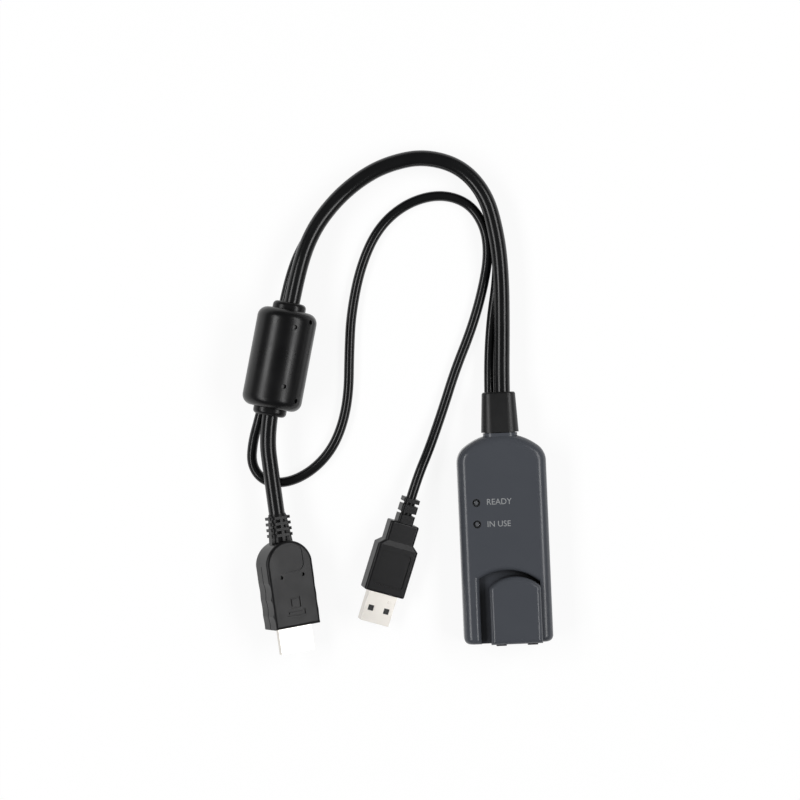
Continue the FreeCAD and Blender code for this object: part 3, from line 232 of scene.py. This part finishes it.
class Material(Enum):
    """The finishes, each named for its material and how its surface was made."""

    # Spark-eroded moulded ABS: an even, very fine grain, with a bright line along each rounded edge.
    # Its channel and narrow corners are darkened with painted shade.
    HOUSING = Finish("abs_spark_eroded", "#484b51", "#4c4f55", 0.23, 0.3, 0.008, 18.0, 0.03,
                     ior=1.4, painted_shade_mm=4.2, painted_shade_open=0.58)
    # Moulded PBT: harder and smoother than the housing.
    SOCKET = Finish("pbt_moulded", "#17181a", "#1d1e20", 0.35, 0.5, 0.006)
    # Moulded thermoplastic rubber: near black and satin, with a soft light band on each side.
    BOOT = Finish("rubber_moulded", "#08080a", "#0d0e0f", 0.42, 0.3, 0.012, 10.0, 0.04)
    # Extruded PVC jacket: smooth and glossy, so it shows each light as a thin line.
    JACKET = Finish("pvc_extruded", "#0c0c0d", "#111213", 0.22, 1.1, 0.006, 9.0, 0.04, ior=1.42)
    # Moulded PVC over the ferrite: satin, with broad soft highlights.
    SLEEVE = Finish("pvc_moulded_satin", "#060607", "#0b0b0d", 0.3, 0.35, 0.01, 12.0, 0.04, ior=1.4)
    # Moulded PVC of the plug grips: satin, a little greyer than the sleeve, with painted shade in its
    # grooves.
    GRIP = Finish("pvc_moulded_grip", "#111112", "#161618", 0.33, 0.35, 0.01, 10.0, 0.04, ior=1.3,
                  painted_shade_mm=1.6, painted_shade_open=0.92)
    # Nickel over drawn steel: bright and slightly warm, with a faint drawing grain.
    NICKEL = Finish("nickel_plated", "#e4e0da", "#d9d5ce", 0.32, 0.6, 0.004, 6.0, 0.05, metallic=1.0,
                    stretch=(1.0, 0.08, 1.0))
    # Tin over rolled steel: duller than the nickel.
    TIN = Finish("tin_plated", "#b5b4ae", "#a5a49e", 0.38, 0.5, 0.004, 5.0, 0.08, metallic=1.0)
    # Clear moulded polycarbonate over each lamp: grey, since it is sunk in a dark hole.
    LENS = ClearLens("polycarbonate_clear", "#9a9da2", "#8c8f94", 0.08, 0.6, 0.002, ior=1.58)
    # Ceramic body of a surface-mounted lamp.
    LAMP = Finish("lamp_ceramic", "#d9d8cc", "#cfcdbf", 0.5, 0.2, 0.004)
    # Glass-epoxy board under green solder mask.
    BOARD = SolderMask("solder_mask_green", "#14532b", "#1a5f33", 0.3, 0.4, 0.004)
    # Moulded epoxy of the chips: dark grey and dull, with a sandy grain.
    CHIP = Finish("epoxy_moulded", "#1a1a1b", "#232324", 0.55, 0.15, 0.008)
    # Gold over phosphor bronze.
    GOLD = Finish("gold_plated", "#d9ac52", "#cc9d45", 0.2, 0.4, 0.002, metallic=1.0)
    # Bright zinc over steel.
    ZINC = Finish("zinc_plated", "#9fa1a4", "#8c8e92", 0.32, 0.3, 0.004, 3.0, 0.08, metallic=1.0)
    # Drawn aluminium of the capacitor cans.
    CAN = Finish("aluminium_drawn", "#c3c4c6", "#b4b5b8", 0.3, 0.3, 0.003, metallic=1.0)
    # Sintered ferrite: near-black ceramic with a fine pitted grain.
    FERRITE = Finish("ferrite_sintered", "#1c1c1e", "#29292c", 0.6, 0.25, 0.02)
    # Moulded nylon behind the contacts.
    INSULATOR = Finish("nylon_moulded", "#141415", "#1b1b1c", 0.4, 0.4, 0.006)
    # Wire insulation inside the jackets.
    WIRE = Finish("wire_insulation", "#8d8d89", "#7c7c78", 0.35, 0.6, 0.004)
    # Pad-printed ink: pale grey and matt, thin enough to follow the grain under it.
    INK = Finish("pad_printed_ink", "#a3a5a6", "#8f9193", 0.6, 0.3, 0.01)


class Wardrobe:
    """Makes each material once, and puts it on pieces."""

    def __init__(self) -> None:
        """Starts with no material made."""
        self.made: dict[Material, bpy.types.Material] = {}

    def get(self, choice: Material) -> bpy.types.Material:
        """Gives a finish's material, made on first use.

        Args:
            choice: The finish.

        Returns:
            Its one material.
        """
        if choice not in self.made:
            self.made[choice] = choice.value.material()
        return self.made[choice]

    def dress(self, piece: bpy.types.Object, choice: Material) -> None:
        """Puts a finish on a piece that has none, or in place of those it has.

        Args:
            piece: A new piece or a packed one.
            choice: The finish.
        """
        slots = piece.material_slots
        if not slots:
            piece.data.materials.append(self.get(choice))
        for slot in slots:
            slot.material = self.get(choice)


# ---- studio ----------------------------------------------------------------------------------


@dataclass
class Studio:
    """A white table, one long soft light on each side, and the camera.

    Strengths are of white light, so that 1 is the white of the picture. Lengths are metres where
    their names don't say millimetres, angles are degrees, and each light's power is watts.
    """

    camera_mm: tuple[float, float, float] = (-39.3, 48.6, 900.0)
    camera_turn: float = -2.4
    lens_mm: float = 100.6
    light_distance: float = 1.0
    light_angle: float = 42.0
    light_width: float = 0.28
    light_length: float = 1.0
    light_power: float = 5.5
    ambient: float = 0.15
    horizon: float = 0.2
    horizon_height: float = 0.15
    floor_size: float = 12.0
    paper: float = 0.9
    paper_glow: float = 1.04
    paper_glow_share: float = 0.85

    def build(self) -> None:
        """Makes the camera, the lights, the world and the floor."""
        self.camera()
        for side in (-1, 1):
            angle = math.radians(self.light_angle)
            self.light(f"side_light_{side}", (side * math.sin(angle), 0.0, math.cos(angle)),
                       (self.light_length, self.light_width))
        self.world()
        self.floor()
        log.info("studio ready")

    def camera(self) -> None:
        """Makes the camera, looking straight down and turned a little about its axis."""
        data = bpy.data.cameras.new("camera")
        data.lens = self.lens_mm
        data.sensor_width = 36.0
        data.clip_start = 0.01
        made = bpy.data.objects.new("camera", data)
        bpy.context.scene.collection.objects.link(made)
        made.location = [value * MM for value in self.camera_mm]
        made.rotation_euler = (0.0, 0.0, math.radians(self.camera_turn))
        bpy.context.scene.camera = made

    def light(self, name: str, way: tuple[float, float, float], size: tuple[float, float]) -> None:
        """Makes one soft light that faces the object.

        Args:
            name: The light's name.
            way: Direction from the object to the light.
            size: How long it is level with the table, and how wide across that, metres.
        """
        data = bpy.data.lights.new(name, "AREA")
        data.shape = "RECTANGLE"
        data.size, data.size_y = size
        data.energy = self.light_power
        made = bpy.data.objects.new(name, data)
        bpy.context.scene.collection.objects.link(made)
        centre = Vector((self.camera_mm[0] * MM, self.camera_mm[1] * MM, 0.0))
        made.location = centre + Vector(way) * self.light_distance
        made.rotation_euler = (-Vector(way)).to_track_quat("-Z", "Y").to_euler()

    def world(self) -> None:
        """Makes a dim room, white to the camera, and a little lighter at its horizon to mirror rays."""
        world = bpy.data.worlds.new("room")
        bpy.context.scene.world = world
        world.use_nodes = True
        tree = world.node_tree
        tree.nodes.clear()
        rays = add(tree, "ShaderNodeLightPath")
        way = add(tree, "ShaderNodeTexCoord").outputs["Generated"]
        height = add(tree, "ShaderNodeSeparateXYZ", {"Vector": way}).outputs["Z"]
        low = add(tree, "ShaderNodeMapRange", {"Value": height},
                  {"From Min": 0.0, "From Max": self.horizon_height, "To Min": self.horizon,
                   "To Max": self.ambient})
        mirror = add(tree, "ShaderNodeMath", {0: rays.outputs["Is Glossy Ray"],
                                              1: rays.outputs["Is Transmission Ray"]}, operation="MAXIMUM")
        seen = add(tree, "ShaderNodeMix", {"Factor": mirror.outputs["Value"], "B": low.outputs["Result"]},
                   {"A": self.ambient}, data_type="FLOAT")
        strength = add(tree, "ShaderNodeMath", {0: seen.outputs["Result"], 1: rays.outputs["Is Camera Ray"]},
                       operation="MAXIMUM")
        glow = add(tree, "ShaderNodeBackground", {"Strength": strength.outputs["Value"]},
                   {"Color": (1.0, 1.0, 1.0, 1.0)})
        add(tree, "ShaderNodeOutputWorld", {"Surface": glow.outputs["Background"]})

    def floor(self) -> None:
        """Makes the table: white to the camera and to mirror rays, with a faint shadow kept."""
        half = self.floor_size / 2
        corners = np.array([(-half, -half, 0.0), (half, -half, 0.0), (half, half, 0.0), (-half, half, 0.0)])
        mesh = bpy.data.meshes.new("table")
        mesh.from_pydata(corners.tolist(), [], [(0, 1, 2, 3)])
        made = bpy.data.objects.new("table", mesh)
        bpy.context.scene.collection.objects.link(made)
        paper = bpy.data.materials.new("paper_backdrop")
        paper.use_nodes = True
        tree = paper.node_tree
        tree.nodes.clear()
        rays = add(tree, "ShaderNodeLightPath")
        lit = add(tree, "ShaderNodeBsdfDiffuse", values={"Color": (self.paper, self.paper, self.paper, 1.0)})
        white = add(tree, "ShaderNodeEmission", values={
            "Color": (1.0, 1.0, 1.0, 1.0), "Strength": self.paper_glow})
        mirror = add(tree, "ShaderNodeMath", {0: rays.outputs["Is Glossy Ray"],
                                              1: rays.outputs["Is Transmission Ray"]}, operation="MAXIMUM")
        seen = add(tree, "ShaderNodeMath", {0: rays.outputs["Is Camera Ray"], 1: mirror.outputs["Value"]},
                   operation="MAXIMUM")
        share = add(tree, "ShaderNodeMath", {0: seen.outputs["Value"]}, {1: self.paper_glow_share},
                    operation="MULTIPLY")
        mixed = add(tree, "ShaderNodeMixShader", {"Fac": share.outputs["Value"], 1: lit.outputs["BSDF"],
                                                  2: white.outputs["Emission"]})
        add(tree, "ShaderNodeOutputMaterial", {"Surface": mixed.outputs["Shader"]})
        mesh.materials.append(paper)


# ---- cables ----------------------------------------------------------------------------------


@dataclass
class Cable:
    """One captive cable: a round jacket along a loose route, from the boot to its plug."""

    node: str
    diameter_mm: float
    length_mm: float
    stiffness: str
    plug_nodes: tuple[str, ...]
    route: tuple[tuple[float, float, float], ...]
    steps_along: int = 12
    steps_round: int = 6

    def build(self, wardrobe: Wardrobe) -> bpy.types.Object:
        """Makes the cable as one smooth spline on the route's points.

        Args:
            wardrobe: Where its finish comes from.

        Returns:
            The cable's curve.
        """
        data = bpy.data.curves.new(f"{self.node}_jacket", "CURVE")
        data.dimensions = "3D"
        data.resolution_u = self.steps_along
        data.render_resolution_u = self.steps_along
        data.bevel_depth = self.diameter_mm * MM / 2
        data.bevel_resolution = self.steps_round
        data.use_fill_caps = True
        spline = data.splines.new("NURBS")
        spline.points.add(len(self.route) - 1)
        points = np.ones((len(self.route), 4))
        points[:, :3] = np.array(self.route) * MM
        spline.points.foreach_set("co", points.ravel())
        spline.order_u = 3
        spline.use_endpoint_u = True
        made = bpy.data.objects.new(f"{self.node}_jacket", data)
        bpy.context.scene.collection.objects.link(made)
        wardrobe.dress(made, Material.JACKET)
        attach(made, "root")
        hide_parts(self.node)
        log.info("%s: %d points", self.node, len(self.route))
        return made


VIDEO = Cable("video_cable", 6.4, 305.4, "medium", (
    "video_plug_grip", "video_plug_can", "video_plug_shell", "video_plug_insulator", "video_plug_contacts",
    "ferrite_sleeve", "ferrite_core"), (
    (1.3, 27, 8.2), (1.3, 51, 8.1), (2.6, 76, 7.6), (3.2, 97, 7.45), (2.1, 113, 7.35),
    (-1.6, 129.2, 7.35), (-11.1, 140.8, 7.35), (-25.7, 145.5, 7.35), (-39.7, 143.2, 7.35),
    (-51, 138, 7.35), (-62.4, 128.9, 7.6), (-71.9, 116.6, 9.4), (-78, 100.5, 12.2),
    (-85.6, 66.8, 13.4), (-93, 38, 12.1), (-91.6, 20.3, 10.75), (-89.9, 3, 10.6)))
DATA = Cable("data_cable", 4.0, 587.0, "limp", (
    "data_plug_grip", "data_plug_can", "data_plug_shell", "data_plug_insulator", "data_plug_contacts"), (
    (-3.8, 27, 6.7), (-3.8, 51, 5.8), (-2.1, 75.5, 3.8), (2, 97, 2.1), (2.3, 113, 2.05),
    (-1.6, 129.2, 2.05), (-11.1, 140.8, 2.05), (-25.7, 145.5, 2.05), (-39.7, 143.2, 2.05),
    (-51, 138, 2.05), (-62.7, 128.7, 2.15), (-73.4, 116.2, 4.2), (-81.2, 101, 7.8),
    (-88.9, 67.4, 9.2), (-95.1, 45.3, 8.5), (-98.9, 34.5, 4.6), (-100.1, 24.9, 2.15),
    (-95.2, 18, 2.05), (-85.8, 17.2, 2.05), (-76.1, 21.4, 2.05), (-68, 29.1, 2.05),
    (-62.8, 39.3, 2.05), (-59.8, 52, 2.05), (-58.9, 68, 2.05), (-57.5, 84, 2.05),
    (-52.9, 102.9, 2.05), (-45.3, 118, 2.05), (-33.9, 127.3, 2.05), (-20.4, 130.7, 2.05),
    (-8.8, 127, 2.05), (-2.5, 117.6, 2.05), (-1.2, 105.8, 2.05), (-4.3, 91.2, 2.05),
    (-9.5, 75.6, 2.05), (-16.6, 59.8, 2.05), (-22.2, 44.2, 2.5), (-28.3, 28.8, 5.0),
    (-33.7, 17.3, 7.2), (-37.4, 6.8, 6.93)))


# ---- housing ---------------------------------------------------------------------------------


@dataclass
class Housing:
    """The printed lamp labels on the housing's flat top."""

    ink_mm: float = 0.03
    letter_steps: int = 4
    labels: tuple[tuple[str, float, float, float, float], ...] = (
        ("READY", -6.6, 3.2, 5.7, 8.0), ("IN USE", -6.7, 2.5, -3.1, -0.8))

    def build(self, wardrobe: Wardrobe) -> None:
        """Prints one plain word beside each lamp.

        Args:
            wardrobe: Where the ink comes from.
        """
        for index, (word, left, right, low, high) in enumerate(self.labels, start=1):
            made = self.printed(f"lamp_label_{index}", word, (left, right, low, high))
            wardrobe.dress(made, Material.INK)
            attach(made, "root")
            log.info("%s printed", made.name)

    def printed(self, name: str, word: str, place: tuple[float, float, float, float]) -> bpy.types.Object:
        """Makes a word's mesh and fits it into its place on the flat top.

        Each letter's outline is filled, then stretched in X and Y so that the word's own box
        becomes the given one, and laid an ink's thickness above the surface.

        Args:
            name: The piece's name.
            word: What it says.
            place: Left, right, low and high edges, millimetres.

        Returns:
            The word as a mesh object.
        """
        data = bpy.data.curves.new(name, "FONT")
        data.body = word
        data.resolution_u = self.letter_steps
        source = bpy.data.objects.new(f"{name}_outline", data)
        bpy.context.scene.collection.objects.link(source)
        bpy.context.view_layer.update()
        mesh = bpy.data.meshes.new_from_object(source.evaluated_get(bpy.context.evaluated_depsgraph_get()))
        bpy.data.objects.remove(source)
        flat = np.empty(len(mesh.vertices) * 3)
        mesh.vertices.foreach_get("co", flat)
        flat = flat.reshape(-1, 3)
        left, right, low, high = place
        spread = (flat - flat.min(axis=0)) / np.maximum(np.ptp(flat, axis=0), 1e-9)
        flat[:, 0] = left + spread[:, 0] * (right - left)
        flat[:, 1] = low + spread[:, 1] * (high - low)
        flat[:, 2] = FLAT_TOP_MM + self.ink_mm
        mesh.vertices.foreach_set("co", (flat * MM).ravel())
        mesh.name = name
        made = bpy.data.objects.new(name, mesh)
        bpy.context.scene.collection.objects.link(made)
        return made


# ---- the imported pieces' finishes -------------------------------------------------------------

NODE_FINISH: dict[str, Material] = {
    "upper_housing": Material.HOUSING, "lower_housing": Material.HOUSING,
    "network_jack": Material.SOCKET, "jack_contacts": Material.GOLD,
    "power_light_pipe": Material.LENS, "active_light_pipe": Material.LENS,
    "power_lamp": Material.LAMP, "active_lamp": Material.LAMP,
    "cable_boot": Material.BOOT, "ferrite_sleeve": Material.SLEEVE, "ferrite_core": Material.FERRITE,
    "circuit_board": Material.BOARD, "network_transformer": Material.CHIP,
    "video_processor": Material.CHIP, "memory_chip": Material.CHIP, "data_controller": Material.CHIP,
    "power_inductor": Material.FERRITE, "crystal_can": Material.TIN,
    "capacitor_front": Material.CAN, "capacitor_rear": Material.CAN,
    "video_header": Material.INSULATOR, "data_header": Material.INSULATOR,
    "video_cores": Material.WIRE, "data_cores": Material.WIRE,
    **{f"housing_screw_{number}": Material.ZINC for number in range(1, 5)},
    "video_plug_grip": Material.GRIP, "data_plug_grip": Material.GRIP,
    "video_plug_shell": Material.NICKEL, "data_plug_shell": Material.NICKEL,
    "video_plug_can": Material.TIN, "data_plug_can": Material.TIN,
    "video_plug_insulator": Material.INSULATOR, "data_plug_insulator": Material.INSULATOR,
    "video_plug_contacts": Material.GOLD, "data_plug_contacts": Material.GOLD,
}


def main() -> None:
    """Builds the studio, the cables and the housing's print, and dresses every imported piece."""
    bpy.context.scene.view_settings.view_transform = "Standard"
    wardrobe = Wardrobe()
    Studio().build()
    for cable in (VIDEO, DATA):
        cable.build(wardrobe)
    for node, choice in NODE_FINISH.items():
        wardrobe.dress(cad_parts[node], choice)
        log.info("%s: %s", node, choice.value.name)
    Housing().build(wardrobe)


if __name__ == "__main__":
    main()
